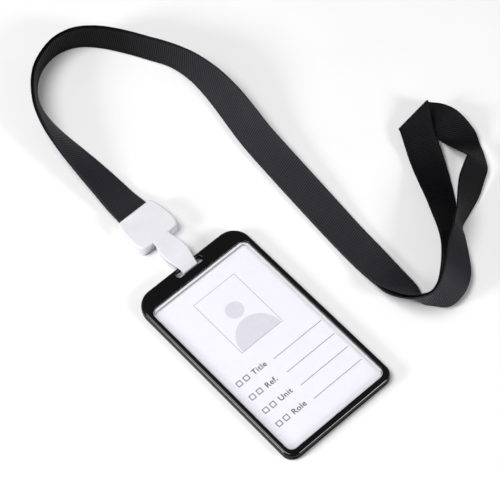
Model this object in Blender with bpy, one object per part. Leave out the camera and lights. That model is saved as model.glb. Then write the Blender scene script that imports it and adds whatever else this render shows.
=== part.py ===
"""Badge lanyard: a doubled grosgrain neck ribbon crimped in a white snap-hook clip that carries a
slide-in card holder.

The holder lies face up.  X runs across it, +Y along it towards the clip, Z up.  The origin is the
centre of the holder's rear face.  Blender 4.5, metres.
"""

import math

import bmesh
import bpy
import numpy as np
from mathutils import Vector

MM = 0.001

# Card holder, in millimetres like every constant below
HOLDER_HALF_W = 29.15
HOLDER_HALF_L = 50.0
HOLDER_T = 4.0
TOP_CORNER_R = 8.8
BOTTOM_CORNER_R = 5.2
TRAY_T = 1.4
SEAM = 0.2
EDGE_ROUND = 1.3
WINDOW_HALF_W = 26.5
WINDOW_Y = (-47.0, 41.3)
WINDOW_R = 3.0
SLOT_HALF_W = 7.1
SLOT_Y = (45.25, 48.5)
POCKET_HALF_W = 27.3
POCKET_Z = (1.0, 2.38)
RECESS_HALF_W = 27.8
RECESS_Y = (-48.2, 42.5)
RECESS_TOP = 3.25
NOTCH_HALF_W = 8.6
NOTCH_Y = 44.9
THUMB_HALF_W = 8.0
THUMB_Y = (-42.0, -22.0)

# Card and clear window
CARD_HALF_W = 27.0
CARD_Y = (-47.85, 42.15)
CARD_R = 3.2
CARD_Z = (1.62, 2.32)
PANE_FLANGE_Z = (2.46, 2.96)
PANE_TOP = 3.7
PANE_GAP = 0.25
PANE_STEP = 1.3

# Clip head: half widths at stations along Y, mouth end first
HEAD_SIDE = (
    (83.2, 7.6),
    (82.9, 8.7),
    (82.0, 9.5),
    (80.0, 10.1),
    (77.0, 10.6),
    (73.5, 10.9),
    (70.5, 10.95),
    (68.2, 10.7),
    (66.6, 10.1),
    (65.6, 9.2),
    (65.3, 8.2),
)
HEAD_MOUTH_Y = 83.2
HEAD_FRONT_Y = 65.3
HEAD_Z = (0.3, 6.3)
HEAD_SPLIT = (2.1, 2.25)
HEAD_ROUND = 0.9
CAVITY_HALF_W = 7.8
CAVITY_Y = 69.4
CAVITY_TOP = 4.9
PEG_R = 0.6
PEG_AT = ((9.3, 71.5), (9.1, 77.5))
PEG_TOP = 3.5

# Tongue and hook: (y, z, half width) of the middle of a flat strip, from the head to the hook's tip
HOOK_T = 1.15
HOOK = (
    (67.5, 5.62, 4.2),
    (65.3, 5.62, 4.2),
    (63.6, 5.62, 4.4),
    (61.2, 5.58, 4.95),
    (58.6, 5.5, 5.45),
    (56.0, 5.42, 5.6),
    (53.4, 5.32, 5.35),
    (51.0, 5.2, 4.8),
    (49.4, 5.08, 4.4),
    (48.2, 4.85, 4.15),
    (47.2, 4.35, 4.0),
    (46.45, 3.65, 3.95),
    (46.2, 2.8, 3.95),
    (46.45, 1.95, 3.95),
    (47.2, 1.2, 3.95),
    (48.3, 0.82, 3.95),
    (50.0, 0.8, 3.9),
    (51.7, 0.8, 3.6),
)

# Gate: the same kind of strip, from its pivot pin to the free end that rests inside the hook's tip
GATE_T = 0.8
GATE = (
    (67.0, 1.5, 3.6),
    (65.3, 1.46, 3.6),
    (63.0, 1.4, 4.1),
    (60.4, 1.32, 4.8),
    (57.6, 1.3, 5.2),
    (55.2, 1.38, 5.2),
    (53.2, 1.6, 4.8),
    (51.2, 1.95, 4.1),
)
GATE_PIN_R = 0.55
GATE_PIN_HALF = 5.2

# Ribbon
RIBBON_W = 15.0
RIBBON_T = 0.7
STRAND_GAP = 0.3
TABLE = 0.3
# Both strands together, from inside the clip: x, y, roll in degrees.  Roll lifts the left edge,
# and the low edge lies on the table.
PAIR = (
    (0.0, 93.0, 12),
    (0.0, 103.0, 22),
    (0.0, 115.0, 32),
    (0.0, 127.0, 44),
    (0.5, 139.0, 58),
    (2.5, 150.0, 73),
    (6.5, 159.5, 87),
    (12.5, 167.0, 94),
    (20.5, 172.0, 98),
    (30.0, 174.0, 97),
    (39.5, 171.5, 93),
    (47.5, 164.5, 88),
    (54.0, 155.0, 85),
    (60.0, 144.0, 84),
    (65.0, 134.0, 82),
    (68.0, 123.0, 71),
    (69.0, 111.0, 55),
    (68.5, 99.0, 39),
    (67.0, 87.0, 27),
    (65.5, 75.0, 18),
    (64.0, 56.0, 11),
    (62.5, 36.0, 6),
    (61.0, 14.0, 0),
    (60.0, -1.0, -4),
    (59.2, -13.0, -14),
)
# Each strand alone, from the start of the turn to the crease: x, y, roll, skew of the cross line
# in degrees, and the height of the low edge above the table
UPPER_END = (
    (59.2, -23.3, -31, 14, 0.9),
    (59.1, -31.0, -60, 14, 0.6),
    (63.1, -35.4, -78, 10, 0.3),
    (68.0, -36.2, -98, 6, 0.5),
    (74.3, -33.4, -110, 3, 0.8),
    (80.0, -29.5, -117, 1, 0.8),
    (86.4, -23.5, -122, 0, 0.3),
    (92.0, -16.8, -131, 0, 0.0),
    (97.0, -9.7, -142, 0, 0.0),
    (101.8, -2.5, -153, -2, 0.0),
    (106.2, 5.1, -164, -2, 0.2),
    (110.2, 12.5, -175, -2, 0.9),
    (114.2, 20.4, -184, 2, 1.6),
    (118.0, 28.0, -188, 14, 2.8),
)
LOWER_END = (
    (57.7, -24.3, -31, 11, 0.0),
    (58.1, -32.2, -62, 10, 0.2),
    (62.6, -37.1, -81, 9, 0.8),
    (67.9, -39.4, -112, 7, 1.8),
    (75.2, -37.5, -132, 0, 2.6),
    (81.9, -33.4, -137, -2, 2.6),
    (88.2, -27.1, -128, 1, 1.9),
    (94.7, -20.7, -112, 6, 0.9),
    (98.0, -17.1, -103, 13, 0.3),
    (103.1, -14.4, -107, 19, 0.3),
    (110.7, -10.0, -124, 23, 0.7),
    (118.1, -5.0, -132, 24, 1.3),
    (123.8, -1.8, -129, 17, 1.7),
    (127.8, 3.4, -134, 8, 1.5),
    (129.8, 8.7, -157, -2, 1.1),
    (131.3, 16.6, -184, -13, 1.5),
    (131.5, 25.3, -196, -15, 1.2),
    (130.5, 33.3, -193, -16, 0.0),
)
CREASE = (Vector((132.5, 37.3, 7.2)), Vector((114.6, 37.0, 2.4)))
CREASE_R = 1.0


def new_collection(name):
    collection = bpy.data.collections.new(name)
    bpy.context.scene.collection.children.link(collection)
    return collection


def clear_scene():
    for obj in list(bpy.data.objects):
        bpy.data.objects.remove(obj, do_unlink=True)


def principled(name, colour, roughness, transmission=0.0):
    material = bpy.data.materials.new(name)
    material.use_nodes = True
    shader = material.node_tree.nodes["Principled BSDF"]
    shader.inputs["Base Color"].default_value = (*colour, 1.0)
    shader.inputs["Roughness"].default_value = roughness
    shader.inputs["Metallic"].default_value = 0.0
    shader.inputs["Transmission Weight"].default_value = transmission
    return material


def new_object(name, bm, collection, material=None):
    bmesh.ops.recalc_face_normals(bm, faces=bm.faces)
    mesh = bpy.data.meshes.new(name)
    bm.to_mesh(mesh)
    bm.free()
    obj = bpy.data.objects.new(name, mesh)
    collection.objects.link(obj)
    if material:
        mesh.materials.append(material)
    return obj


def rounded_rectangle(x0, x1, y0, y1, low_r, high_r, steps=8):
    """Corner points counter-clockwise; low_r is the radius at y0 and high_r the one at y1."""
    corners = (
        (x1 - low_r, y0 + low_r, low_r, -90),
        (x1 - high_r, y1 - high_r, high_r, 0),
        (x0 + high_r, y1 - high_r, high_r, 90),
        (x0 + low_r, y0 + low_r, low_r, 180),
    )
    points = []
    for cx, cy, radius, start in corners:
        for i in range(steps + 1):
            angle = math.radians(start + 90 * i / steps)
            points.append((cx + radius * math.cos(angle), cy + radius * math.sin(angle)))
    return points


def prism(points, z0, z1, top_round=0.0, bottom_round=0.0, segments=3):
    """A flat outline raised from z0 to z1, with its top or bottom rim rounded over."""
    bm = bmesh.new()
    face = bm.faces.new([bm.verts.new((x * MM, y * MM, z0 * MM)) for x, y in points])
    raised = bmesh.ops.extrude_face_region(bm, geom=[face])
    verts = [v for v in raised["geom"] if isinstance(v, bmesh.types.BMVert)]
    bmesh.ops.translate(bm, vec=(0, 0, (z1 - z0) * MM), verts=verts)
    for level, size in ((z1, top_round), (z0, bottom_round)):
        if size:
            rim = [e for e in bm.edges if all(abs(v.co.z - level * MM) < 1e-7 for v in e.verts)]
            bmesh.ops.bevel(
                bm, geom=rim, offset=size * MM, segments=segments, profile=0.5, affect="EDGES"
            )
    return bm


def box(x0, x1, y0, y1, z0, z1):
    return prism(((x0, y0), (x1, y0), (x1, y1), (x0, y1)), z0, z1)


def strip(rows, thickness):
    """A flat strip that follows (y, z, half width) rows in the YZ plane, with rounded long edges."""
    bm = bmesh.new()
    path = [Vector((0, y, z)) for y, z, _ in rows]
    rings = []
    for i, (_, _, half) in enumerate(rows):
        along = (path[min(i + 1, len(path) - 1)] - path[max(i - 1, 0)]).normalized()
        up = Vector((1, 0, 0)).cross(along) * (thickness / 2)
        inset = thickness * 0.28
        ring = []
        for side, lift in (
            (half - inset, 1),
            (half, 0.44),
            (half, -0.44),
            (half - inset, -1),
            (inset - half, -1),
            (-half, -0.44),
            (-half, 0.44),
            (inset - half, 1),
        ):
            ring.append(bm.verts.new((path[i] + Vector((side, 0, 0)) + up * lift) * MM))
        rings.append(ring)
    for a, b in zip(rings, rings[1:]):
        for j in range(8):
            k = (j + 1) % 8
            bm.faces.new((a[j], a[k], b[k], b[j]))
    bm.faces.new(rings[0])
    bm.faces.new(rings[-1])
    return bm


def cylinder(radius, x0, x1, y, z, segments=16):
    """A pin along X."""
    bm = bmesh.new()
    bmesh.ops.create_cone(
        bm,
        cap_ends=True,
        segments=segments,
        radius1=radius * MM,
        radius2=radius * MM,
        depth=(x1 - x0) * MM,
    )
    for v in bm.verts:
        v.co = Vector((v.co.z + (x0 + x1) / 2 * MM, v.co.x + y * MM, v.co.y + z * MM))
    return bm


def post(radius, x, y, z0, z1, segments=16):
    """A round post along Z."""
    bm = bmesh.new()
    bmesh.ops.create_cone(
        bm,
        cap_ends=True,
        segments=segments,
        radius1=radius * MM,
        radius2=radius * MM,
        depth=(z1 - z0) * MM,
    )
    bmesh.ops.translate(bm, vec=Vector((x, y, (z0 + z1) / 2)) * MM, verts=bm.verts)
    return bm


def boolean(obj, helper, operation):
    modifier = obj.modifiers.new(f"{operation.lower()}_{helper.name}", "BOOLEAN")
    modifier.operation = operation
    modifier.object = helper
    modifier.solver = "EXACT"


def cut(obj, bm, name):
    helper = new_object(name, bm, CUTTERS)
    helper.hide_render = True
    helper.display_type = "WIRE"
    boolean(obj, helper, "DIFFERENCE")


def join(obj, bm, name):
    helper = new_object(name, bm, CUTTERS)
    helper.hide_render = True
    helper.display_type = "WIRE"
    boolean(obj, helper, "UNION")


def smooth(obj, degrees=35):
    obj.data.shade_smooth()
    obj.data.set_sharp_from_angle(angle=math.radians(degrees))


def holder_outline():
    return rounded_rectangle(
        -HOLDER_HALF_W,
        HOLDER_HALF_W,
        -HOLDER_HALF_L,
        HOLDER_HALF_L,
        BOTTOM_CORNER_R,
        TOP_CORNER_R,
    )


def head_outline():
    right = [(x, y) for y, x in reversed(HEAD_SIDE)]
    left = [(-x, y) for y, x in HEAD_SIDE]
    return right + left


def make_bezel(material):
    body = prism(holder_outline(), TRAY_T + SEAM, HOLDER_T, top_round=EDGE_ROUND)
    bezel = new_object("front_bezel", body, PARTS, material)
    window = rounded_rectangle(
        -WINDOW_HALF_W, WINDOW_HALF_W, *WINDOW_Y, WINDOW_R, WINDOW_R, steps=6
    )
    cut(bezel, prism(window, 1.0, 5.0), "window_cutter")
    recess = rounded_rectangle(
        -RECESS_HALF_W, RECESS_HALF_W, *RECESS_Y, WINDOW_R + 1, WINDOW_R + 1, steps=6
    )
    cut(bezel, prism(recess, 1.2, RECESS_TOP), "recess_cutter")
    # The card slides out through a thin mouth in the bottom wall
    cut(bezel, box(-POCKET_HALF_W, POCKET_HALF_W, -52.0, -40.0, *POCKET_Z), "mouth_cutter")
    slot_r = (SLOT_Y[1] - SLOT_Y[0]) / 2
    slot = rounded_rectangle(-SLOT_HALF_W, SLOT_HALF_W, *SLOT_Y, slot_r - 0.01, slot_r - 0.01)
    cut(bezel, prism(slot, 1.1, 5.1), "slot_cutter")
    smooth(bezel)


def make_tray(material):
    body = prism(holder_outline(), 0.0, TRAY_T, bottom_round=0.7, segments=2)
    tray = new_object("rear_tray", body, PARTS, material)
    notch = rounded_rectangle(-NOTCH_HALF_W, NOTCH_HALF_W, NOTCH_Y, 56.0, 1.5, 1.5, steps=4)
    cut(tray, prism(notch, -1.0, 3.0), "notch_cutter")
    thumb = rounded_rectangle(
        -THUMB_HALF_W, THUMB_HALF_W, *THUMB_Y, THUMB_HALF_W - 0.01, THUMB_HALF_W - 0.01
    )
    cut(tray, prism(thumb, -1.1, 3.1), "thumb_cutter")
    smooth(tray)


def make_window(material):
    flange = rounded_rectangle(
        -RECESS_HALF_W + PANE_GAP,
        RECESS_HALF_W - PANE_GAP,
        RECESS_Y[0] + PANE_GAP,
        RECESS_Y[1] - PANE_GAP,
        WINDOW_R + 0.8,
        WINDOW_R + 0.8,
        steps=6,
    )
    pane = new_object("clear_window", prism(flange, *PANE_FLANGE_Z), PARTS, material)
    raised = rounded_rectangle(
        -WINDOW_HALF_W + PANE_GAP,
        WINDOW_HALF_W - PANE_GAP,
        WINDOW_Y[0] + PANE_GAP,
        WINDOW_Y[1] - PANE_GAP,
        WINDOW_R - 0.2,
        WINDOW_R - 0.2,
        steps=6,
    )
    join(pane, prism(raised, 2.7, PANE_TOP, top_round=0.35, segments=2), "pane_plateau")
    smooth(pane)


def make_card(material):
    outline = rounded_rectangle(-CARD_HALF_W, CARD_HALF_W, *CARD_Y, CARD_R, CARD_R, steps=6)
    smooth(new_object("id_card", prism(outline, *CARD_Z), PARTS, material))


def make_front_shell(material):
    body = prism(head_outline(), HEAD_SPLIT[1], HEAD_Z[1], top_round=HEAD_ROUND)
    shell = new_object("clip_front_shell", body, PARTS, material)
    mouth = box(-CAVITY_HALF_W, CAVITY_HALF_W, CAVITY_Y, 86.0, 1.0, CAVITY_TOP)
    cut(shell, mouth, "ribbon_cavity_cutter")
    for i, (x, y) in enumerate(PEG_AT):
        for side in (-1, 1):
            socket = post(PEG_R + 0.25, side * x, y, 1.3, PEG_TOP + 0.3)
            cut(shell, socket, f"socket_cutter_{i}_{side + 1}")
    for i, y in enumerate((72.5, 75.5, 78.5)):
        join(shell, box(-6.5, 6.5, y, y + 0.9, 4.5, 5.3), f"front_ridge_{i}")
    join(shell, strip(HOOK, HOOK_T), "hook_strip")
    smooth(shell)


def make_rear_shell(material):
    body = prism(head_outline(), HEAD_Z[0], HEAD_SPLIT[0], bottom_round=HEAD_ROUND)
    shell = new_object("clip_rear_shell", body, PARTS, material)
    cut(shell, box(-4.0, 4.0, 64.0, 67.3, 0.75, 3.0), "gate_channel_cutter")
    cut(shell, box(-5.5, 5.5, 66.15, 67.85, 0.7, 3.1), "pin_channel_cutter")
    for i, (x, y) in enumerate(PEG_AT):
        for side in (-1, 1):
            join(shell, post(PEG_R, side * x, y, 1.4, PEG_TOP), f"peg_{i}_{side + 1}")
    for i, y in enumerate((71.0, 74.0, 77.0)):
        join(shell, box(-6.5, 6.5, y, y + 0.9, 1.5, 2.25), f"rear_ridge_{i}")
    smooth(shell)


def make_gate(material):
    pivot_y, pivot_z, _ = GATE[0]
    bm = strip(GATE, GATE_T)
    bmesh.ops.translate(bm, vec=Vector((0, -pivot_y, -pivot_z)) * MM, verts=bm.verts)
    gate = new_object("clip_gate", bm, PARTS, material)
    gate.location = Vector((0, pivot_y, pivot_z)) * MM
    pin = cylinder(GATE_PIN_R, -GATE_PIN_HALF, GATE_PIN_HALF, pivot_y, pivot_z)
    join(gate, pin, "gate_pin")
    smooth(gate)


def frames(rows, lift_of):
    """Left and right edge points of ribbon stations given as x, y, roll, skew and lift rows."""
    ground = np.array([row[:2] for row in rows])
    along = np.gradient(ground, axis=0)
    along /= np.linalg.norm(along, axis=1)[:, None]
    edges = []
    for (x, y, roll, skew, lift), (tx, ty) in zip(rows, along):
        angle = math.radians(roll)
        z = TABLE + lift_of * abs(math.cos(angle)) + RIBBON_W / 2 * abs(math.sin(angle)) + lift
        across = Vector((-ty * math.cos(angle), tx * math.cos(angle), math.sin(angle)))
        half = (across + Vector((tx, ty, 0)) * math.tan(math.radians(skew))) * (RIBBON_W / 2)
        normal = across.cross(Vector((tx, ty, 0))) * -1
        edges.append((Vector((x, y, z)) + half, Vector((x, y, z)) - half, normal.normalized()))
    return edges


def strand(side):
    """Edge point pairs of one strand from its end in the clip to the crease."""
    offset = side * (RIBBON_T + STRAND_GAP) / 2
    mouth_z = 3.35 + offset
    pairs = []
    for y in (70.4, 77.0, 84.0):
        pairs.append((Vector((-RIBBON_W / 2, y, mouth_z)), Vector((RIBBON_W / 2, y, mouth_z))))
    tail = UPPER_END if side > 0 else LOWER_END
    stacked = [(x, y, roll, 0.0, 0.0) for x, y, roll in PAIR]
    both = frames(stacked, RIBBON_T + STRAND_GAP / 2)
    for left, right, normal in both:
        pairs.append((left + normal * offset, right + normal * offset))
    alone = frames([stacked[-1]] + list(tail), RIBBON_T / 2)
    pairs += [(left, right) for left, right, _ in alone[1:]]
    rise = Vector((0, 0, side * CREASE_R))
    pairs.append((CREASE[0] + rise, CREASE[1] + rise))
    return pairs


def catmull_rom(points, parts):
    points = [points[0] * 2 - points[1], *points, points[-1] * 2 - points[-2]]
    out = []
    for p0, p1, p2, p3 in zip(points, points[1:], points[2:], points[3:]):
        for i in range(parts):
            t = i / parts
            out.append(
                0.5
                * (
                    2 * p1
                    + (p2 - p0) * t
                    + (2 * p0 - 5 * p1 + 4 * p2 - p3) * t * t
                    + (3 * p1 - p0 - 3 * p2 + p3) * t * t * t
                )
            )
    out.append(points[-2])
    return out


def make_ribbon(material):
    def smoothed(pairs):
        left = catmull_rom([p[0] for p in pairs], 3)
        right = catmull_rom([p[1] for p in pairs], 3)
        return list(zip(left, right))

    upper = smoothed(strand(1))
    lower = smoothed(strand(-1))
    out = Vector((0, 1, 0))
    fold = []
    for degrees in (30, 60, 90, 120, 150):
        angle = math.radians(degrees)
        shift = Vector((0, 0, CREASE_R * math.cos(angle))) + out * CREASE_R * math.sin(angle)
        fold.append((CREASE[0] + shift, CREASE[1] + shift))
    pairs = upper + fold + lower[::-1]

    bm = bmesh.new()
    rings = []
    for i, (left, right) in enumerate(pairs):
        before = pairs[max(i - 1, 0)]
        after = pairs[min(i + 1, len(pairs) - 1)]
        along = (after[0] + after[1]) - (before[0] + before[1])
        normal = (right - left).cross(along).normalized() * (RIBBON_T / 2)
        corners = (left + normal, right + normal, right - normal, left - normal)
        rings.append([bm.verts.new(corner * MM) for corner in corners])
    for a, b in zip(rings, rings[1:]):
        for j in range(4):
            k = (j + 1) % 4
            bm.faces.new((a[j], a[k], b[k], b[j]))
    bm.faces.new(rings[0])
    bm.faces.new(rings[-1])
    bmesh.ops.triangulate(bm, faces=bm.faces)
    smooth(new_object("neck_ribbon", bm, PARTS, material), 40)


clear_scene()
PARTS = new_collection("lanyard")
CUTTERS = new_collection("lanyard_cutters")

black = principled("holder_black", (0.012, 0.012, 0.014), 0.25)
clear = principled("clear_acrylic", (0.95, 0.96, 0.98), 0.05, transmission=1.0)
card_white = principled("card_white", (0.87, 0.86, 0.93), 0.5)
clip_white = principled("clip_white", (0.84, 0.83, 0.88), 0.42)
ribbon_black = principled("ribbon_black", (0.022, 0.021, 0.026), 0.75)

make_bezel(black)
make_tray(black)
make_window(clear)
make_card(card_white)
make_front_shell(clip_white)
make_rear_shell(clip_white)
make_gate(clip_white)
make_ribbon(ribbon_black)
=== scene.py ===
"""Looks of the badge lanyard: ribbed neck ribbon, white snap-hook clip, glossy card holder and card.

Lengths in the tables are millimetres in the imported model's frame: X across the holder, +Y towards
the clip, Z up, origin at the centre of the holder's rear face.
"""

import math

import bmesh
import bpy
import numpy as np
from mathutils import Matrix, Vector


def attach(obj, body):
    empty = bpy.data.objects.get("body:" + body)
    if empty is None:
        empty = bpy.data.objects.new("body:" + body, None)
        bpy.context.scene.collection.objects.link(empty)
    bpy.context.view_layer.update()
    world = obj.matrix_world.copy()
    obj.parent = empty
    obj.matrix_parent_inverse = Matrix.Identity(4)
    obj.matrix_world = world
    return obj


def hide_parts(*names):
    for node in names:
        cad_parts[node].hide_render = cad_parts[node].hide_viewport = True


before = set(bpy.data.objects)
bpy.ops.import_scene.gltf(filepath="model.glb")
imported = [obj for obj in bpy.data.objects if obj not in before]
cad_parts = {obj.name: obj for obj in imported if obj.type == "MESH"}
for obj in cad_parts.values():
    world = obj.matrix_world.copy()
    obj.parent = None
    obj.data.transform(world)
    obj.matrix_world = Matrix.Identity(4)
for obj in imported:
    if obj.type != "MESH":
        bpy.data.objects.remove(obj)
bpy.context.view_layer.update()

MM = 0.001

# Camera: place, viewing direction and up direction, and the lens that gives the framing
CAMERA_AT = (-253.97, -321.81, 777.34)
CAMERA_VIEW = (0.31079, 0.39837, -0.86297)
CAMERA_UP = (0.58933, 0.63157, 0.50379)
CAMERA_LENS = 150.4
CAMERA_SENSOR = 36.0

# Ribbon: width, thickness, gap between the stacked strands and height of its lowest edge
RIBBON_W = 15.0
RIBBON_T = 0.7
STRAND_GAP = 0.3
TABLE = 0.3
# Where the strands lie inside the clip, and the height of the clip's mouth
IN_CLIP_Y = (70.4, 77.0, 84.0)
MOUTH_Z = 3.35
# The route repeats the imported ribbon's stations, except for a tighter fold and three stations of the
# lower strand before it
# Both strands together: x, y, roll in degrees
PAIR = (
    (0.0, 93.0, 12),
    (0.0, 103.0, 22),
    (0.0, 115.0, 32),
    (0.0, 127.0, 44),
    (0.5, 139.0, 58),
    (2.5, 150.0, 73),
    (6.5, 159.5, 87),
    (12.5, 167.0, 94),
    (20.5, 172.0, 98),
    (30.0, 174.0, 97),
    (39.5, 171.5, 93),
    (47.5, 164.5, 88),
    (54.0, 155.0, 85),
    (60.0, 144.0, 84),
    (65.0, 134.0, 82),
    (68.0, 123.0, 71),
    (69.0, 111.0, 55),
    (68.5, 99.0, 39),
    (67.0, 87.0, 27),
    (65.5, 75.0, 18),
    (64.0, 56.0, 11),
    (62.5, 36.0, 6),
    (61.0, 14.0, 0),
    (60.0, -1.0, -4),
    (59.2, -13.0, -14),
)
# Each strand alone: x, y, roll, skew of the cross line, height of the low edge above the table
UPPER_END = (
    (59.2, -23.3, -31, 14, 0.9),
    (59.1, -31.0, -60, 14, 0.6),
    (63.1, -35.4, -78, 10, 0.3),
    (68.0, -36.2, -98, 6, 0.5),
    (74.3, -33.4, -110, 3, 0.8),
    (80.0, -29.5, -117, 1, 0.8),
    (86.4, -23.5, -122, 0, 0.3),
    (92.0, -16.8, -131, 0, 0.0),
    (97.0, -9.7, -142, 0, 0.0),
    (101.8, -2.5, -153, -2, 0.0),
    (106.2, 5.1, -164, -2, 0.2),
    (110.2, 12.5, -175, -2, 0.9),
    (114.2, 20.4, -184, 2, 1.6),
    (118.0, 28.0, -188, 14, 2.8),
)
LOWER_END = (
    (57.7, -24.3, -31, 11, 0.0),
    (58.1, -32.2, -62, 10, 0.2),
    (62.6, -37.1, -81, 9, 0.8),
    (67.9, -39.4, -112, 7, 1.8),
    (75.2, -37.5, -132, 0, 2.6),
    (81.9, -33.4, -137, -2, 2.6),
    (88.2, -27.1, -128, 1, 1.9),
    (94.7, -20.7, -112, 6, 0.9),
    (98.0, -17.1, -103, 13, 0.3),
    (103.1, -14.4, -107, 19, 0.3),
    (110.7, -10.0, -124, 23, 0.7),
    (118.1, -5.0, -132, 24, 1.3),
    (125.0, -1.1, -129, 7.6, 1.7),
    (127.6, 2.8, -134, 12.5, 1.5),
    (129.1, 9.8, -157, -6, 1.1),
    (131.3, 16.6, -184, -13, 1.5),
    (131.5, 25.3, -196, -15, 1.2),
    (130.5, 33.3, -193, -16, 0.0),
)
# The diagonal fold that joins the strands: its left and right ends and its bending radius
CREASE = (np.array((132.4, 36.8, 7.0)), np.array((114.5, 36.4, 2.4)))
CREASE_R = 0.6
# How far the bend wraps round the crease (degrees), and its profile: place along it, share of thickness
FOLD_TURN = (-20, 200)
FOLD_STEPS = 23
FOLD_PROFILE = ((0.0, 0.5), (0.01, 0.9), (0.03, 1.0), (0.5, 1.0), (0.97, 1.0), (0.99, 0.9), (1.0, 0.5))
# Length of each strand's centreline (m), and the points between two stations of its edges
UPPER_LENGTH = 0.446
LOWER_LENGTH = 0.473
EDGE_PARTS = 24

# Weave: rib pitch along the ribbon and the height of the surface over one rib
RIB_PITCH = 1.05
RIB_SHAPE = (0.6, 0.88, 1.0, 1.0, 0.88)
RIB_WAVE = math.tau / (20 * RIB_PITCH * MM)
# Cross section of the ribbon from its left edge to its right: place across, share of thickness
SECTION = (
    (0.0, 0.25),
    (0.006, 0.78),
    (0.022, 1.06),
    (0.05, 1.08),
    (0.075, 0.97),
    (0.25, 0.97),
    (0.5, 1.0),
    (0.75, 0.97),
    (0.925, 0.97),
    (0.95, 1.08),
    (0.978, 1.06),
    (0.994, 0.78),
    (1.0, 0.25),
)
# Painted light and shade along each strand: place along it (m), share of the full colour; low where the
# ribbon lies in shade (the top arc, the far loop) and high where a highlight falls (the lower strand's
# turn)
LONGEST_RUN = 0.48
NEAR_PAINTED_LIGHT = (
    (0.0, 0.60),
    (0.06, 0.52),
    (0.085, 0.24),
    (0.115, 0.05),
    (0.15, 0.06),
    (0.19, 0.52),
    (0.22, 0.62),
)
UPPER_PAINTED_LIGHT = (*NEAR_PAINTED_LIGHT, (0.325, 0.58), (0.36, 0.13), (0.47, 0.13))
LOWER_PAINTED_LIGHT = (
    *NEAR_PAINTED_LIGHT,
    (0.33, 0.48),
    (0.35, 0.34),
    (0.358, 0.70),
    (0.368, 0.90),
    (0.378, 0.45),
    (0.395, 0.12),
    (0.43, 0.12),
    (0.47, 0.16),
)
# The plain woven edge's share of the width, the narrowest row kept at the diagonal end, and the angle
# (degrees) from which the ribbon's edges are drawn sharp
SELVEDGE = 0.06
NARROWEST = 0.03
RIBBON_SHARP = 50


def new_object(name, data):
    """An object of the data, in the scene."""
    obj = bpy.data.objects.new(name, data)
    bpy.context.scene.collection.objects.link(obj)
    return obj


def unit(vectors):
    """Each vector scaled to length one."""
    return vectors / np.linalg.norm(vectors, axis=-1, keepdims=True)


def stations(rows, lift_of):
    """Left and right edge points and the normal at each x, y, roll, skew, lift station."""
    rows = np.array(rows, float)
    along = unit(np.gradient(rows[:, :2], axis=0))
    roll, skew = np.radians(rows[:, 2]), np.radians(rows[:, 3])
    rise = TABLE + lift_of * abs(np.cos(roll)) + RIBBON_W / 2 * abs(np.sin(roll)) + rows[:, 4]
    centre = np.column_stack((rows[:, :2], rise))
    forward = np.column_stack((along, np.zeros(len(rows))))
    side = np.column_stack((-along[:, 1] * np.cos(roll), along[:, 0] * np.cos(roll), np.sin(roll)))
    half = (side + forward * np.tan(skew)[:, None]) * RIBBON_W / 2
    return centre + half, centre - half, unit(np.cross(forward, side))


def catmull_rom(points, parts):
    """A smooth line through the points, with so many parts between neighbours."""
    points = np.vstack((2 * points[0] - points[1], points, 2 * points[-1] - points[-2]))
    p0, p1, p2, p3 = points[:-3], points[1:-2], points[2:-1], points[3:]
    steps = []
    for t in np.arange(parts) / parts:
        steps.append(
            0.5
            * (
                2 * p1
                + (p2 - p0) * t
                + (2 * p0 - 5 * p1 + 4 * p2 - p3) * t**2
                + (3 * p1 - p0 - 3 * p2 + p3) * t**3
            )
        )
    dense = np.stack(steps, axis=1).reshape(-1, points.shape[1])
    return np.vstack((dense, points[-2]))


def fold_frame():
    """Outward and upward directions square to the crease."""
    along = unit(CREASE[0] - CREASE[1])
    out = unit(np.cross((0.0, 0.0, 1.0), along))
    return out, np.cross(along, out)


def strand(side, tail):
    """Dense left and right edges of one strand, from inside the clip to the crease."""
    offset = side * (RIBBON_T + STRAND_GAP) / 2
    left = [(-RIBBON_W / 2, y, MOUTH_Z + offset) for y in IN_CLIP_Y]
    right = [(RIBBON_W / 2, y, MOUTH_Z + offset) for y in IN_CLIP_Y]
    stacked = [(x, y, roll, 0.0, 0.0) for x, y, roll in PAIR]
    pair_left, pair_right, normal = stations(stacked, RIBBON_T + STRAND_GAP / 2)
    end_left, end_right, _ = stations([stacked[-1], *tail], RIBBON_T / 2)
    rise = fold_frame()[1] * side * CREASE_R
    left = np.vstack((left, pair_left + normal * offset, end_left[1:], CREASE[0] + rise))
    right = np.vstack((right, pair_right + normal * offset, end_right[1:], CREASE[1] + rise))
    return catmull_rom(left, EDGE_PARTS), catmull_rom(right, EDGE_PARTS)


def run_length(line):
    """Distance travelled along the line at each of its points."""
    return np.concatenate(([0.0], np.cumsum(np.linalg.norm(np.diff(line, axis=0), axis=1))))


def at(values, t):
    """Values of a dense array at fractional indices t."""
    i = np.clip(t.astype(int), 0, len(values) - 2)
    share = (t - i)[..., None]
    return values[i] * (1 - share) + values[i + 1] * share


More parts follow.
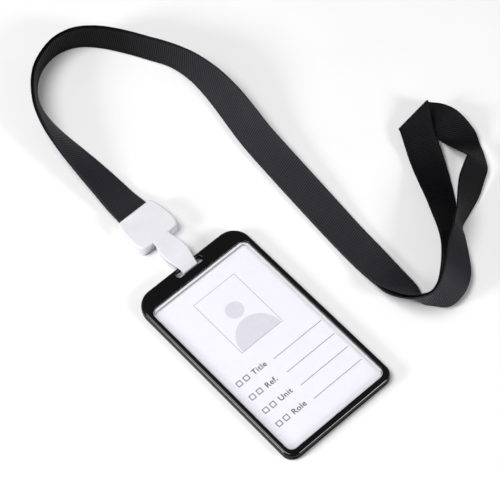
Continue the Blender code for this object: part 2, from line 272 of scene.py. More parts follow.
def weave_rings(left, right):
    """Rings of a ribbed band between two edges, with each ring's place in the flat cloth. Every
    ring is one line of the weave, so the ribs run straight across however the cloth turns."""
    run_left, run_right = run_length(left), run_length(right)
    index = np.arange(len(left), dtype=float)
    slope_left, slope_right = np.gradient(left, axis=0), np.gradient(right, axis=0)
    across, height = np.array(SECTION).T
    inner = (across > SELVEDGE) & (across < 1 - SELVEDGE)
    per_rib = len(RIB_SHAPE)
    rings, marks = [], []
    for row in range(int(run_left[-1] / RIB_PITCH * per_rib)):
        run = row * RIB_PITCH / per_rib
        widest = 1.0
        if run > run_right[-1]:
            widest = (run_left[-1] - run) / (run_left[-1] - run_right[-1])
        if widest < NARROWEST:
            break
        v = across * widest
        t = np.array([np.interp(run, run_left * (1 - w) + run_right * w, index) for w in v])
        w = v[:, None]
        place = at(left, t) * (1 - w) + at(right, t) * w
        along = at(slope_left, t) * (1 - w) + at(slope_right, t) * w
        up = unit(np.cross(at(right, t) - at(left, t), along))
        rib = RIB_SHAPE[row % per_rib]
        bump = np.where(inner, rib, (1 + rib) / 2)
        lift = up * (height * bump * RIBBON_T / 2)[:, None]
        rings.append(np.vstack((place + lift, (place - lift)[::-1])))
        marks.append(np.column_stack((np.full(len(v), run), v * RIBBON_W)))
    return rings, [np.vstack((m, m[::-1])) for m in marks]


def fold_rings(run):
    """Rings of the short bend along the crease, from its left end to its right end."""
    out, up = fold_frame()
    turns = np.radians(np.linspace(*FOLD_TURN, FOLD_STEPS))
    rings, marks = [], []
    for v, shrink in FOLD_PROFILE:
        centre = CREASE[0] * (1 - v) + CREASE[1] * v
        ring, mark = [], []
        for side, line in ((1, turns), (-1, turns[::-1])):
            for angle in line:
                radius = CREASE_R + side * shrink * RIBBON_T / 2
                ring.append(centre + (out * math.sin(angle) + up * math.cos(angle)) * radius)
                mark.append((run + CREASE_R * angle, v * RIBBON_W))
        rings.append(np.array(ring))
        marks.append(np.array(mark))
    return rings, marks


def ribbon_mesh(name, *bands):
    """One mesh of closed bands, each skinned over its rings."""
    points, flat, faces = [], [], []
    for rings, marks in bands:
        start, size = sum(len(p) for p in points), len(rings[0])
        ends = start + (len(rings) - 1) * size
        faces.append(tuple(range(start, start + size)))
        faces.append(tuple(range(ends, ends + size))[::-1])
        for i in range(len(rings) - 1):
            for j in range(size):
                a, b = start + i * size + j, start + i * size + (j + 1) % size
                faces.append((a, a + size, b + size, b))
        points += rings
        flat += marks
    mesh = bpy.data.meshes.new(name)
    mesh.from_pydata((np.vstack(points) * MM).tolist(), [], faces)
    corner = np.zeros(len(mesh.loops), np.int32)
    mesh.loops.foreach_get("vertex_index", corner)
    uv = mesh.uv_layers.new(name="weave")
    uv.data.foreach_set("uv", (np.vstack(flat)[corner] * MM).ravel())
    bm = bmesh.new()
    bm.from_mesh(mesh)
    bmesh.ops.recalc_face_normals(bm, faces=bm.faces)
    bm.to_mesh(mesh)
    bm.free()
    mesh.shade_smooth()
    mesh.set_sharp_from_angle(angle=math.radians(RIBBON_SHARP))
    return new_object(name, mesh)


def make_camera():
    data = bpy.data.cameras.new("camera")
    data.lens, data.sensor_width = CAMERA_LENS, CAMERA_SENSOR
    data.clip_start, data.clip_end = 0.05, 20
    camera = new_object("camera", data)
    view, up = Vector(CAMERA_VIEW).normalized(), Vector(CAMERA_UP).normalized()
    right = view.cross(up)
    turn = Matrix((right, up, -view)).transposed().to_4x4()
    camera.matrix_world = Matrix.Translation(Vector(CAMERA_AT) * MM) @ turn
    bpy.context.scene.camera = camera


def make_ribbon():
    upper, lower = strand(1, UPPER_END), strand(-1, LOWER_END)
    fold = fold_rings(run_length(upper[0])[-1])
    for name, edges, extra, length, painted_light in (
        ("ribbon_upper", upper, (fold,), UPPER_LENGTH, UPPER_PAINTED_LIGHT),
        ("ribbon_lower", lower, (), LOWER_LENGTH, LOWER_PAINTED_LIGHT),
    ):
        obj = ribbon_mesh(name, weave_rings(*edges), *extra)
        obj.data.materials.append(ribbon_material(name + "_weave", painted_light))
        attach(obj, "clip")
        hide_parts("neck_ribbon")


# Materials

# The Mix node's sockets in its colour mode
MIX_SHARE, MIX_A, MIX_B = 0, 6, 7
MIX_COLOUR = 2


class Shader:
    """A Principled material with a few procedural nodes behind it."""

    def __init__(self, name, roughness, **sockets):
        self.material = bpy.data.materials.new(name)
        self.material.use_nodes = True
        self.nodes = self.material.node_tree.nodes
        self.links = self.material.node_tree.links
        self.main = self.nodes["Principled BSDF"]
        self.main.inputs["Roughness"].default_value = roughness
        for socket, value in sockets.items():
            self.main.inputs[socket.replace("_", " ")].default_value = value

    def add(self, kind, inputs=None, **settings):
        node = self.nodes.new("ShaderNode" + kind)
        for key, value in settings.items():
            setattr(node, key, value)
        for key, value in (inputs or {}).items():
            if isinstance(value, bpy.types.NodeSocket):
                self.links.new(value, node.inputs[key])
            else:
                node.inputs[key].default_value = value
        return node

    def place(self, uv=None):
        if uv:
            return self.add("UVMap", uv_map=uv).outputs["UV"]
        return self.add("TexCoord").outputs["Object"]

    def noise(self, vector, scale, detail=4.0, roughness=0.55):
        inputs = {"Vector": vector, "Scale": scale, "Detail": detail, "Roughness": roughness}
        return self.add("TexNoise", inputs).outputs["Fac"]

    def ramp(self, fac, *stops):
        """A colour for each value of fac, by (place, colour) stops."""
        node = self.add("ValToRGB", {"Fac": fac})
        elements = node.color_ramp.elements
        while len(elements) < len(stops):
            elements.new(1.0)
        for element, (place, colour) in zip(elements, stops):
            element.position, element.color = place, (*colour, 1.0)
        return node.outputs["Color"]

    def mottle(self, fac, low, high):
        """A colour between two, following a noise."""
        return self.ramp(fac, (0.3, low), (0.7, high))

    def span(self, fac, low, high, start=0.25, end=0.75):
        """A value from low to high while fac goes from start to end, and level outside."""
        limits = {"From Min": start, "From Max": end, "To Min": low, "To Max": high}
        return self.add("MapRange", {"Value": fac, **limits}).outputs["Result"]

    def math(self, operation, a, b):
        return self.add("Math", {0: a, 1: b}, operation=operation).outputs[0]

    def upwardness(self):
        """The surface normal's upward part."""
        normal = self.add("NewGeometry").outputs["Normal"]
        return self.add("SeparateXYZ", {"Vector": normal}).outputs["Z"]

    def bump(self, height, strength, distance, normal=None):
        inputs = {"Height": height, "Strength": strength, "Distance": distance}
        if normal is not None:
            inputs["Normal"] = normal
        return self.add("Bump", inputs).outputs["Normal"]

    def set(self, socket, value):
        self.links.new(value, self.main.inputs[socket])


def ribbon_material(name, painted_light):
    """Black polyester grosgrain: painted shade in the grooves between the ribs, fine warp threads,
    faint lint.
    Painted light and shade vary along the ribbon, darker where it lies in shade and lighter where a
    highlight falls; the list passed in gives (place in m, share of full colour)."""
    s = Shader(name, 0.5)
    uv = s.place("weave")
    warp = s.add("TexWave", {"Vector": uv, "Scale": 640.0, "Distortion": 0.6}, bands_direction="Y")
    ribs = s.add("TexWave", {"Vector": uv, "Scale": RIB_WAVE}, bands_direction="X")
    threads, rib = warp.outputs["Fac"], ribs.outputs["Fac"]
    cloud = s.noise(uv, 60.0)
    # Painted shade: the colour is darkest in the rib wave's grooves, mixed with the warp threads and a
    # faint lint cloud
    cover = s.math("MULTIPLY", rib, s.span(threads, 0.7, 1.0))
    cover = s.math("ADD", cover, s.span(cloud, -0.1, 0.1))
    cloth = s.ramp(cover, (0.05, (0.030, 0.030, 0.0365)), (0.9, (0.057, 0.056, 0.068)))
    run = s.add("SeparateXYZ", {"Vector": uv}).outputs["X"]
    share = s.math("DIVIDE", run, LONGEST_RUN)
    # Painted light and shade: the cloth colour is multiplied by a factor along the strand, low where it
    # lies in shade and high where a highlight falls
    painted_light_factor = s.ramp(share, *((place / LONGEST_RUN, (value,) * 3) for place, value in painted_light))
    inputs = {MIX_SHARE: 1.0, MIX_A: cloth, MIX_B: painted_light_factor}
    mix = s.add("Mix", inputs, data_type="RGBA", blend_type="MULTIPLY")
    s.set("Base Color", mix.outputs[MIX_COLOUR])
    s.set("Roughness", s.span(cloud, 0.4, 0.5))
    s.set("Specular IOR Level", s.span(cover, 0.03, 0.12))
    s.set("Normal", s.bump(threads, 0.3, 0.00008, s.bump(s.noise(uv, 900.0), 0.2, 0.00005)))
    return s.material


def holder_material():
    """Black moulded plastic, polished on top and duller on its side walls, with faint flow marks
    and hairline scratches."""
    s = Shader("holder_gloss", 0.12, Specular_IOR_Level=0.3)
    place = s.place()
    s.set("Specular IOR Level", s.span(s.upwardness(), 0.04, 0.36, 0.05, 0.5))
    cloud = s.noise(place, 45.0)
    s.set("Base Color", s.mottle(cloud, (0.002, 0.002, 0.0025), (0.0038, 0.0038, 0.0044)))
    scratch = s.add("Mapping", {"Vector": place, "Scale": (40.0, 900.0, 60.0)}).outputs[0]
    fine = s.noise(scratch, 3.0, 6.0)
    s.set("Roughness", s.span(fine, 0.06, 0.13))
    s.set("Normal", s.bump(s.noise(place, 260.0), 0.06, 0.0001))
    return s.material


def clip_material():
    """White moulded plastic: satin, slightly waxy, with a fine spark texture."""
    s = Shader(
        "clip_plastic",
        0.38,
        Subsurface_Weight=0.12,
        Subsurface_Scale=0.0015,
        Specular_IOR_Level=0.45,
    )
    place = s.place()
    cloud = s.noise(place, 120.0)
    s.set("Base Color", s.mottle(cloud, (0.70, 0.695, 0.74), (0.755, 0.75, 0.79)))
    s.set("Roughness", s.span(s.noise(place, 700.0), 0.33, 0.45))
    s.set("Normal", s.bump(s.noise(place, 2500.0, 2.0), 0.08, 0.00004))
    return s.material


def card_material():
    """Smooth coated card stock with a faint lilac cast and paper fibre."""
    s = Shader("card_stock", 0.5, Specular_IOR_Level=0.3)
    place = s.place()
    fibre = s.noise(place, 320.0, 5.0)
    s.set("Base Color", s.mottle(fibre, (0.865, 0.853, 0.917), (0.885, 0.873, 0.937)))
    s.set("Roughness", s.span(s.noise(place, 250.0), 0.42, 0.58))
    s.set("Normal", s.bump(fibre, 0.05, 0.00003))
    return s.material


def ink_material(name, colour):
    """Offset ink with a slightly uneven cover."""
    s = Shader(name, 0.5, Specular_IOR_Level=0.3)
    cover = s.noise(s.place(), 500.0, 4.0)
    light = tuple(min(1.0, c * 1.06) for c in colour)
    s.set("Base Color", s.mottle(cover, colour, light))
    return s.material


def pane_material():
    """Thin clear acrylic: nearly all see-through, with an even faint mirror film that is smooth and
    lightly wiped on flat faces and dull on steep ones."""
    s = Shader("pane_acrylic", 0.04, Metallic=1.0, Alpha=0.03)
    s.main.inputs["Base Color"].default_value = (0.97, 0.97, 1.0, 1.0)
    streaks = s.add("Mapping", {"Vector": s.place(), "Scale": (60.0, 14.0, 1.0)}).outputs[0]
    wiped = s.span(s.noise(streaks, 4.0), 0.08, 0.16)
    dull = s.span(s.upwardness(), 0.6, 0.0, 0.7, 0.98)
    s.set("Roughness", s.math("MAXIMUM", wiped, dull))
    return s.material


def ledge_highlight_material():
    """Painted highlight for the pane's ledge: whitish, with a fine sanded grain."""
    s = Shader("pane_painted_highlight", 0.6, Specular_IOR_Level=0.3, Alpha=0.75)
    grain = s.noise(s.place(), 2200.0, 5.0)
    s.set("Base Color", s.mottle(grain, (0.83, 0.83, 0.85), (0.88, 0.88, 0.89)))
    s.set("Normal", s.bump(grain, 0.1, 0.00003))
    return s.material


def floor_material():
    """Matt white with a barely uneven tone."""
    s = Shader("floor_white", 0.8, Specular_IOR_Level=0.1)
    grain = s.noise(s.place(), 30.0)
    s.set("Base Color", s.mottle(grain, (0.9, 0.9, 0.905), (0.92, 0.92, 0.925)))
    return s.material


# Solid modelling

# The angle (degrees) from which a solid's edges are drawn sharp, and how far a cutter overshoots
SOLID_SHARP = 32
OVERSHOOT = 1.0
# Steps in each rounded corner of a strip's section
STRIP_STEPS = 4


def rounded_rectangle(x0, x1, y0, y1, low_r, high_r, grow=0.0, steps=20):
    """Corner points counter-clockwise; low_r is the radius at y0 and high_r the one at y1."""
    x0, x1, y0, y1 = x0 - grow, x1 + grow, y0 - grow, y1 + grow
    low_r, high_r = low_r + grow, high_r + grow
    corners = (
        (x1 - low_r, y0 + low_r, low_r, -90),
        (x1 - high_r, y1 - high_r, high_r, 0),
        (x0 + high_r, y1 - high_r, high_r, 90),
        (x0 + low_r, y0 + low_r, low_r, 180),
    )
    points = []
    for cx, cy, radius, start in corners:
        for i in range(steps + 1):
            angle = math.radians(start + 90 * i / steps)
            points.append((cx + radius * math.cos(angle), cy + radius * math.sin(angle)))
    return points


def rounding(z_start, z_end, radius, steps=6):
    """Levels (z, inset) of a quarter-round edge that ends at z_end; inset grows towards it."""
    levels = []
    for i in range(steps + 1):
        angle = math.pi / 2 * i / steps
        share = math.sin(angle)
        levels.append((z_start + (z_end - z_start) * share, radius * (1 - math.cos(angle))))
    return levels


def loft(rings, looped=False):
    """A solid through rings of the same number of points, capped at its ends or looped on itself."""
    bm = bmesh.new()
    made = [[bm.verts.new(Vector(p) * MM) for p in ring] for ring in rings]
    if looped:
        made.append(made[0])
    for a, b in zip(made, made[1:]):
        for j in range(len(a)):
            k = (j + 1) % len(a)
            bm.faces.new((a[j], a[k], b[k], b[j]))
    if not looped:
        bm.faces.new(made[0][::-1])
        bm.faces.new(made[-1])
    bmesh.ops.recalc_face_normals(bm, faces=bm.faces)
    return bm


def stack(outline_of, levels):
    """A solid whose outline at each (z, inset) level is outline_of(-inset)."""
    return loft([[(x, y, z) for x, y in outline_of(-inset)] for z, inset in levels])


def strip(rows, thickness, corner=0.42, parts=5):
    """A flat strip with rounded long edges that follows smoothed (y, z, half width) rows."""
    rows = catmull_rom(np.array(rows, float), parts)
    along = unit(np.gradient(rows[:, :2], axis=0))
    rings = []
    radius = thickness * corner
    for (y, z, half), (ty, tz) in zip(rows, along):
        ring = []
        for side, low in ((1, -1), (1, 1), (-1, 1), (-1, -1)):
            for i in range(STRIP_STEPS + 1):
                step = i if side * low < 0 else STRIP_STEPS - i
                angle = math.pi / 2 * step / STRIP_STEPS
                x = side * (half - radius + radius * math.sin(angle))
                lift = low * (thickness / 2 - radius + radius * math.cos(angle))
                ring.append((x, y - tz * lift, z + ty * lift))
        rings.append(ring)
    return loft(rings)


def circle(u, v, radius, steps):
    turns = [math.tau * i / steps for i in range(steps)]
    return [(u + radius * math.cos(a), v + radius * math.sin(a)) for a in turns]


def post(radius, x, y, z0, z1):
    """An upright round post."""
    return loft([[(px, py, z) for px, py in circle(x, y, radius, 32)] for z in (z0, z1)])


def pin(radius, half, y, z, chamfer=0.15):
    """A pin along X with chamfered ends."""
    levels = ((-half, 0.7), (chamfer - half, 1.0), (half - chamfer, 1.0), (half, 0.7))
    return loft([[(x, py, pz) for py, pz in circle(y, z, radius * share, 24)] for x, share in levels])


def solid(name, body, material, parts=(), cuts=()):
    """body joined with parts and cut by cuts, as one finished mesh."""
    obj = plain(name, body)
    helpers = []
    for operation, shapes in (("UNION", parts), ("DIFFERENCE", cuts)):
        for shape in shapes:
            helper = plain("helper", shape)
            helpers.append(helper)
            modifier = obj.modifiers.new(operation, "BOOLEAN")
            modifier.operation, modifier.object, modifier.solver = operation, helper, "EXACT"
    if helpers:
        shown = obj.evaluated_get(bpy.context.evaluated_depsgraph_get())
        mesh = bpy.data.meshes.new_from_object(shown)
        obj.modifiers.clear()
        obj.data = mesh
        obj.data.name = name
        for helper in helpers:
            bpy.data.objects.remove(helper)
    obj.data.materials.clear()
    obj.data.materials.append(material)
    obj.data.shade_smooth()
    obj.data.set_sharp_from_angle(angle=math.radians(SOLID_SHARP))
    normals = obj.modifiers.new("even_normals", "WEIGHTED_NORMAL")
    normals.keep_sharp = True
    return obj


def plain(name, bm):
    """An object of the mesh, which is used up."""
    mesh = bpy.data.meshes.new(name)
    bm.to_mesh(mesh)
    bm.free()
    return new_object(name, mesh)


def fit(obj, body, slot, *nodes):
    """Fixes the piece to a body and hides the nodes that it replaces; slot is not used."""
    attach(obj, body)
    if nodes:
        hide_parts(*nodes)
    return obj


# Holder

# Rounded rectangles: x from and to, y from and to, radius of the low corners and of the high corners
HOLDER = (-29.15, 29.15, -50.0, 50.0, 5.2, 8.8)
WINDOW = (-26.5, 26.5, -47.0, 41.3, 3.0, 3.0)
RECESS = (-27.8, 27.8, -48.2, 42.5, 4.0, 4.0)
SLOT = (-7.1, 7.1, 45.25, 48.5, 1.62, 1.62)
NOTCH = (-8.6, 8.6, 44.9, 56.0, 1.5, 1.5)
THUMB = (-8.0, 8.0, -42.0, -22.0, 7.99, 7.99)
MOUTH = (-27.3, 27.3, -52.0, -40.0, 0.4, 0.4)
CARD = (-27.0, 27.0, -47.85, 42.15, 3.2, 3.2)
# Painted highlight on the pane's ledge: a whitish band for light caught on the ledge; its outer edge is
# drawn in evenly from the window, and its inner edge more at the right and top, where the light
# catches, than at the left and bottom; a hairline of painted shade follows it inside
HIGHLIGHT_INSET = 0.32
HIGHLIGHT_NEAR, HIGHLIGHT_FAR = 0.55, 1.2
HAIRLINE = 0.12
# Dark marks over the band: inset, width outwards and inwards, and the angles that each corner's spans
MARK_INSET = 0.6
MARK_OUT, MARK_IN = 0.18, 0.1
MARK_TOP_RIGHT, MARK_TOP_LEFT, MARK_LOW_RIGHT = (15, 75), (110, 160), (-60, -20)
# Heights
TRAY_TOP = 1.4
BEZEL_LOW = 1.6
BEZEL_TOP = 4.0
RECESS_TOP = 3.25
MOUTH_TOP = 2.38
CARD_Z = (1.62, 2.32)
PANE_Z = (2.46, 2.96, 3.7)
PANE_LEDGE = 3.4
BAND_TOP = PANE_LEDGE + 0.03
# Rounding of the frame's top edge, the tray's bottom edge and the lips of the openings
BEZEL_ROUND = 1.3
TRAY_ROUND = 0.7
WINDOW_LIP = 0.3
SLOT_LIP = 0.35
# Clearance of the pane in the frame, thickness of a printed film and its gap from what it lies on
PANE_GAP = 0.25
PRINT_T = 0.012
FILM_GAP = 0.005


def outline(shape, steps=20):
    """The rounded rectangle as a function of how far it is grown."""
    return lambda grow: rounded_rectangle(*shape, grow=grow, steps=steps)


def through(shape, low, high, flare=0.0, flare_low=0.0):
    """A cutter right through, which can widen in a rounded lip at the top and at the bottom."""
    levels = [(low - OVERSHOOT, -flare_low)]
    if flare_low:
        levels += [(z, -i) for z, i in reversed(rounding(low + flare_low, low, flare_low))]
    if flare:
        levels += [(z, -i) for z, i in rounding(high - flare, high, flare)]
    levels.append((high + OVERSHOOT, -flare))
    return stack(outline(shape), levels)


def inset(shape, by):
    """The same rounded rectangle drawn in by a distance."""
    x0, x1, y0, y1, low_r, high_r = shape
    return x0 + by, x1 - by, y0 + by, y1 - by, max(low_r - by, 0.3), max(high_r - by, 0.3)


def band(outer, inner, low, high):
    """A flat ring between two rounded rectangles."""
    corners = ((outer, low), (inner, low), (inner, high), (outer, high))
    return loft([[(x, y, z) for x, y in rounded_rectangle(*shape)] for shape, z in corners], True)


def prism(bm, base, height):
    """Adds a flat-topped upright prism over the base points."""
    rings = []
    for rise in (0.0, height):
        rings.append([bm.verts.new(Vector((x, y, z + rise)) * MM) for x, y, z in base])
    for j in range(len(base)):
        k = (j + 1) % len(base)
        bm.faces.new((rings[0][j], rings[0][k], rings[1][k], rings[1][j]))
    bm.faces.new(rings[0][::-1])
    bm.faces.new(rings[1])
    bmesh.ops.recalc_face_normals(bm, faces=bm.faces)


def make_holder(black):
    levels = [(BEZEL_LOW, 0.18), (BEZEL_LOW + 0.12, 0.03), (BEZEL_LOW + 0.3, 0.0)]
    levels += rounding(BEZEL_TOP - BEZEL_ROUND, BEZEL_TOP, BEZEL_ROUND, 10)
    bezel = solid(
        "holder_front",
        stack(outline(HOLDER), levels),
        black,
        cuts=(
            through(WINDOW, BEZEL_LOW, BEZEL_TOP, flare=WINDOW_LIP),
            stack(outline(RECESS), [(1.2, 0.0), (RECESS_TOP, 0.0)]),
            stack(outline(MOUTH, 4), [(1.0, 0.0), (MOUTH_TOP, 0.0)]),
            through(SLOT, BEZEL_LOW, BEZEL_TOP, flare=SLOT_LIP),
        ),
    )
    fit(bezel, "holder", "holder_black", "front_bezel")

    levels = [(z, i) for z, i in reversed(rounding(TRAY_ROUND, 0.0, TRAY_ROUND))]
    levels += [(TRAY_TOP - 0.25, 0.0), (TRAY_TOP - 0.1, 0.03), (TRAY_TOP, 0.18)]
    tray = solid(
        "holder_back",
        stack(outline(HOLDER), levels),
        black,
        cuts=(
            through(NOTCH, 0.0, TRAY_TOP),
            through(THUMB, 0.0, TRAY_TOP, flare_low=SLOT_LIP),
        ),
    )
    fit(tray, "holder", "holder_black", "rear_tray")


def make_pane(clear):
    """A flange under the frame and a plateau in its window, with a ledge round the plateau's rim."""
    low, step, high = PANE_Z
    rim = [(step - 0.15, 0.0), (PANE_LEDGE - 0.08, 0.0), (PANE_LEDGE, 0.08), (PANE_LEDGE, 1.25)]
    rim += [(PANE_LEDGE + 0.05, 1.3), (high - 0.05, 1.32), (high, 1.38)]
    window = solid(
        "holder_window",
        stack(outline(inset(RECESS, PANE_GAP)), [(low, 0.0), (step, 0.0)]),
        clear,
        parts=(stack(outline(inset(WINDOW, PANE_GAP)), rim),),
    )
    fit(window, "holder", "clear_acrylic", "clear_window")


def make_rim(highlight_white):
    """What shows on the pane's ledge: a band of painted highlight, a hairline of painted shade inside
    it and dark corner marks.
    """
    x0, x1, y0, y1, _, _ = WINDOW
    edge = (x0 + HIGHLIGHT_NEAR, x1 - HIGHLIGHT_FAR, y0 + HIGHLIGHT_NEAR, y1 - HIGHLIGHT_FAR, 2.2, 2.0)
    low = PANE_LEDGE + FILM_GAP
    # Painted highlight: a whitish band for light caught on the ledge, wider at the right and top
    highlight_band = band(inset(WINDOW, HIGHLIGHT_INSET), edge, low, BAND_TOP)
    fit(solid("window_painted_highlight", highlight_band, highlight_white), "holder", "clear_acrylic")
    # Painted shade: a grey hairline along the inner edge of the highlight band
    hairline = band(edge, inset(edge, HAIRLINE), low, BAND_TOP)
    edge_shade_grey = ink_material("window_edge_shade", (0.50, 0.50, 0.53))
    fit(solid("window_edge_shade", hairline, edge_shade_grey), "holder", "clear_acrylic")

    x0, x1, y0, y1, low_r, high_r = inset(WINDOW, MARK_INSET)
    z = BAND_TOP + FILM_GAP
    marks = bmesh.new()
    for cx, cy, radius, (start, end) in (
        (x1 - high_r, y1 - high_r, high_r, MARK_TOP_RIGHT),
        (x0 + high_r, y1 - high_r, high_r, MARK_TOP_LEFT),
        (x1 - low_r, y0 + low_r, low_r, MARK_LOW_RIGHT),
    ):
        outer = arc(cx, cy, radius + MARK_OUT, radius + MARK_OUT, start, end, 12)
        inner = arc(cx, cy, radius - MARK_IN, radius - MARK_IN, end, start, 12)
        prism(marks, [(x, y, z) for x, y in outer + inner], PRINT_T)
    corners = plain("window_corner_shade", marks)
    corners.data.materials.append(ink_material("corner_shade", (0.05, 0.05, 0.06)))
    fit(corners, "holder", "clear_acrylic")


# Card

PRINT_Z = 2.325
# From places in the print, whose origin is its lower left corner, to the card's frame
PRINT_SHIFT = (-26.6, -47.83)
PRINT_SCALE = 53.0 / 54.0
# Portrait frame: x from and to, y from and to; the figure's middle, head and shoulders
FRAME = (15.8, 39.2, 48.7, 80.4)
FRAME_LINE = 0.16
FIGURE_X = 27.45
HEAD_Y, HEAD_R = 66.6, 4.2
SHOULDERS = (10.95, 12.0)
# Caption of each line of the form with the height of its baseline, and where and how it is set
CAPTIONS = (("Title", 37.4), ("Ref.", 29.0), ("Unit", 20.6), ("Role", 12.2))
CAPTION_X = 12.7
CAPTION_SIZE = 3.65
CAPTION_SPACING = 1.08
CAPTION_BOLDER = 0.04
# The two empty boxes before each caption
BOX_X, BOX, BOX_GAP, BOX_LINE = 4.1, 2.6, 1.35, 0.34
# The ruled lines: x from and to, heights, half thickness
RULES_X = (23.85, 51.15)
RULES_Y = (37.6, 29.1, 20.6, 12.2)
RULE_HALF = 0.12
# Points of a caption closer than this (m) are one
WELD = 1e-7


def on_card(x, y):
    """Place in the frame of a place in the print."""
    return (x + PRINT_SHIFT[0]) * PRINT_SCALE, (y + PRINT_SHIFT[1]) * PRINT_SCALE


def printed(name, outlines, material):
    """Closed flat shapes printed on the card."""
    bm = bmesh.new()
    for points in outlines:
        prism(bm, [(*on_card(x, y), PRINT_Z) for x, y in points], PRINT_T)
    obj = plain(name, bm)
    obj.data.materials.append(material)
    return fit(obj, "card", "card_white")


def bar(x0, x1, y0, y1):
    """A rectangle's corners."""
    return ((x0, y0), (x1, y0), (x1, y1), (x0, y1))


def hollow(x0, x1, y0, y1, line):
    """Four bars round a rectangle."""
    across = [bar(x0, x1, y0, y0 + line), bar(x0, x1, y1 - line, y1)]
    return across + [bar(x, x + line, y0 + line, y1 - line) for x in (x0, x1 - line)]


def arc(cx, cy, rx, ry, start, end, steps):
    """Points on an ellipse between two angles in degrees."""
    turns = [math.radians(start + (end - start) * i / steps) for i in range(steps + 1)]
    return [(cx + rx * math.cos(a), cy + ry * math.sin(a)) for a in turns]


def caption(name, word, y, material):
    """A printed word, as a closed mesh."""
    data = bpy.data.curves.new(name, "FONT")
    data.body = word
    data.size = CAPTION_SIZE * MM
    data.space_character = CAPTION_SPACING
    data.offset = CAPTION_BOLDER * MM
    data.extrude = PRINT_T / 2 * MM
    text_obj = new_object(name + "_text", data)
    text_obj.location = Vector((*on_card(CAPTION_X, y), PRINT_Z + PRINT_T / 2)) * MM
    bpy.context.view_layer.update()
    shown = text_obj.evaluated_get(bpy.context.evaluated_depsgraph_get())
    mesh = bpy.data.meshes.new_from_object(shown)
    mesh.transform(text_obj.matrix_world)
    welded = bmesh.new()
    welded.from_mesh(mesh)
    bmesh.ops.remove_doubles(welded, verts=welded.verts, dist=WELD)
    welded.to_mesh(mesh)
    welded.free()
    bpy.data.objects.remove(text_obj)
    mesh.materials.clear()
    mesh.materials.append(material)
    return fit(new_object(name, mesh), "card", "card_white")


def make_card(stock):
    low, high = CARD_Z
    levels = [(low, 0.06), (low + 0.08, 0.0), (high - 0.08, 0.0), (high, 0.06)]
    card = solid("form_card", stack(outline(CARD), levels), stock)
    fit(card, "card", "card_white", "id_card")

    line = ink_material("ink_line", (0.18, 0.18, 0.20))
    tint = ink_material("ink_tint", (0.69, 0.68, 0.745))
    rule = ink_material("ink_rule", (0.05, 0.05, 0.055))
    text = ink_material("ink_text", (0.02, 0.02, 0.022))
    printed("print_frame", hollow(*FRAME, FRAME_LINE), line)
    head = arc(FIGURE_X, HEAD_Y, HEAD_R, HEAD_R, 0, 350, 35)
    shoulders = arc(FIGURE_X, FRAME[2] + FRAME_LINE, *SHOULDERS, 0, 180, 40)
    printed("print_figure", [head, shoulders], tint)
    printed("print_rules", [bar(*RULES_X, y - RULE_HALF, y + RULE_HALF) for y in RULES_Y], rule)
    for i, (word, y) in enumerate(CAPTIONS):
        boxes = []
        for x in (BOX_X, BOX_X + BOX + BOX_GAP):
            boxes += hollow(x, x + BOX, y, y + BOX, BOX_LINE)
        printed(f"print_box_{i}", boxes, text)
        caption(f"print_word_{i}", word, y, text)


# Clip

# One side of the head's outline: y, x
HEAD_SIDE = (
    (83.2, 7.6),
    (82.9, 8.7),
    (82.0, 9.5),
    (80.0, 10.1),
    (77.0, 10.6),
    (73.5, 10.9),
    (70.5, 10.95),
    (68.2, 10.7),
    (66.6, 10.1),
    (65.6, 9.2),
    (65.3, 8.2),
)
# The split between the head's halves, its bottom and top, and the rounding of both
HEAD_SPLIT = (2.1, 2.25)
HEAD_Z = (0.3, 6.3)
HEAD_ROUND = 0.9
CAVITY = (-7.8, 7.8, 69.4, 86.0, 0.3, 0.3)
CAVITY_TOP = 4.9
PEG_R = 0.6
PEG_AT = ((9.3, 71.5), (9.1, 77.5))
PEG_TOP = 3.5
PEG_PLAY = 0.25
# Teeth across the cavity: their places along it, root height and tip height
FRONT_TEETH = ((72.5, 75.5, 78.5), 5.2, 4.5)
REAR_TEETH = ((71.0, 74.0, 77.0), 1.5, 2.25)
TOOTH_HALF = 6.5
# Tongue and hook: y, z, half width along the middle of the strip
HOOK_T = 1.15
HOOK = (
    (67.5, 5.62, 4.2),
    (65.3, 5.62, 4.2),
    (63.6, 5.62, 4.4),
    (61.2, 5.58, 4.95),
    (58.6, 5.5, 5.45),
    (56.0, 5.42, 5.6),
    (53.4, 5.32, 5.35),
    (51.0, 5.2, 4.8),
    (49.4, 5.08, 4.4),
    (48.2, 4.85, 4.15),
    (47.2, 4.35, 4.0),
    (46.45, 3.65, 3.95),
    (46.2, 2.8, 3.95),
    (46.45, 1.95, 3.95),
    (47.2, 1.2, 3.95),
    (48.3, 0.82, 3.95),
    (50.0, 0.8, 3.9),
    (51.7, 0.8, 3.6),
)
# Gate, from its pivot pin to the free end inside the hook's tip: y, z, half width
GATE_T = 0.8
GATE = (
    (67.0, 1.5, 3.6),
    (65.3, 1.46, 3.6),
    (63.0, 1.4, 4.1),
    (60.4, 1.32, 4.8),
    (57.6, 1.3, 5.2),
    (55.2, 1.38, 5.2),
    (53.2, 1.6, 4.8),
    (51.2, 1.95, 4.1),
)
GATE_PIN_R = 0.55
GATE_PIN_HALF = 5.2
# Room for the gate's root and for its pin in the rear half: rounded rectangle, bottom and top
GATE_CHANNEL = ((-4.0, 4.0, 64.0, 67.3, 0.1, 0.1), 0.75, 3.0)
PIN_CHANNEL = ((-5.5, 5.5, 66.15, 67.85, 0.1, 0.1), 0.7, 3.1)


def head_outline(grow):
    """The clip head's outline, smoothed through its side stations and offset along its normals."""
    side = catmull_rom(np.array([(x, y) for y, x in HEAD_SIDE], float), 6)
    points = np.vstack((side[::-1], side * (-1, 1)))
    tangent = unit(np.roll(points, -1, axis=0) - np.roll(points, 1, axis=0))
    return points + np.column_stack((tangent[:, 1], -tangent[:, 0])) * grow


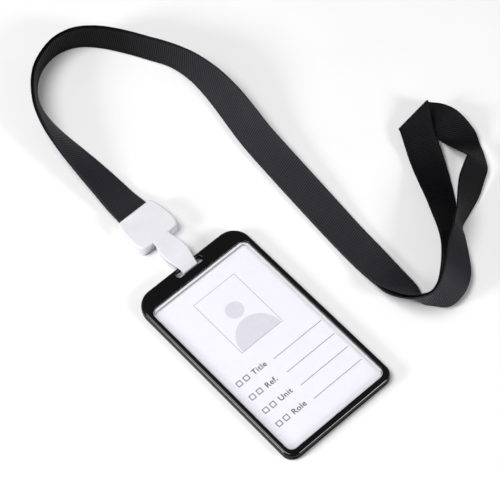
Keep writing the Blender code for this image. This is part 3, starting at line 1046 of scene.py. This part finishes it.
def ridge(y, z0, z1):
    """One tooth across the cavity."""
    rings = []
    for x in (-TOOTH_HALF, TOOTH_HALF):
        rings.append([(x, y, z0), (x, y + 0.9, z0), (x, y + 0.6, z1), (x, y + 0.3, z1)])
    return loft(rings)


def teeth(row):
    places, root, tip = row
    return [ridge(y, root, tip) for y in places]


def channel(room):
    shape, low, high = room
    return stack(outline(shape, 3), [(low, 0.0), (high, 0.0)])


def pegs(radius, low, high):
    """A post at each peg's place, on both sides."""
    return [post(radius, side * x, y, low, high) for x, y in PEG_AT for side in (-1, 1)]


def make_clip(white):
    low, high = HEAD_SPLIT[1], HEAD_Z[1]
    levels = [(low, 0.12), (low + 0.14, 0.0)]
    levels += rounding(high - HEAD_ROUND, high, HEAD_ROUND, 8)
    cavity = stack(outline(CAVITY, 6), [(1.0, 0.0), (CAVITY_TOP, 0.0)])
    front = solid(
        "clip_front",
        stack(head_outline, levels),
        white,
        parts=[strip(HOOK, HOOK_T), *teeth(FRONT_TEETH)],
        cuts=[cavity, *pegs(PEG_R + PEG_PLAY, 1.3, PEG_TOP + 0.3)],
    )
    fit(front, "clip", "clip_white", "clip_front_shell")

    low, high = HEAD_Z[0], HEAD_SPLIT[0]
    levels = [(z, i) for z, i in reversed(rounding(low + HEAD_ROUND, low, HEAD_ROUND, 8))]
    levels += [(high - 0.14, 0.0), (high, 0.12)]
    rear = solid(
        "clip_rear",
        stack(head_outline, levels),
        white,
        parts=[*pegs(PEG_R, 1.4, PEG_TOP), *teeth(REAR_TEETH)],
        cuts=[channel(GATE_CHANNEL), channel(PIN_CHANNEL)],
    )
    fit(rear, "clip", "clip_white", "clip_rear_shell")

    pivot_y, pivot_z, _ = GATE[0]
    gate = solid(
        "clip_spring_gate",
        strip(GATE, GATE_T),
        white,
        parts=(pin(GATE_PIN_R, GATE_PIN_HALF, pivot_y, pivot_z),),
    )
    fit(gate, "gate", "clip_white", "clip_gate")


# Stage, in metres

FLOOR_HALF = 3.0
FLOOR_DROP = 0.0001
WORLD_STRENGTH = 0.16
LAMPS_AIM = (0.05, 0.05, 0.0)
# Round soft lamps: name, place, diameter, power (W)
LAMPS = (
    ("key", (-1.1, 0.4, 0.5), 0.35, 8),
    ("fill", (0.45, -1.15, 0.6), 0.35, 8),
    ("top", (-0.45, 0.3, 1.3), 0.9, 14.5),
)


def make_floor(material):
    bm = bmesh.new()
    bmesh.ops.create_grid(bm, x_segments=2, y_segments=2, size=FLOOR_HALF)
    floor = plain("floor", bm)
    floor.data.materials.append(material)
    floor.location = (0, 0, -FLOOR_DROP)


def make_lamp(name, place, diameter, power):
    data = bpy.data.lights.new(name, "AREA")
    data.shape, data.size, data.energy = "DISK", diameter, power
    lamp = new_object(name, data)
    lamp.location = place
    aim = Vector(LAMPS_AIM) - Vector(place)
    lamp.rotation_mode = "QUATERNION"
    lamp.rotation_quaternion = aim.to_track_quat("-Z", "Y")


def make_light():
    world = bpy.data.worlds.new("studio")
    world.use_nodes = True
    background = world.node_tree.nodes["Background"].inputs
    background["Color"].default_value = (1, 1, 1, 1)
    background["Strength"].default_value = WORLD_STRENGTH
    bpy.context.scene.world = world
    bpy.context.scene.view_settings.view_transform = "Standard"
    for lamp in LAMPS:
        make_lamp(*lamp)


make_camera()
make_ribbon()
make_holder(holder_material())
make_pane(pane_material())
make_rim(ledge_highlight_material())
make_card(card_material())
make_clip(clip_material())
make_floor(floor_material())
make_light()
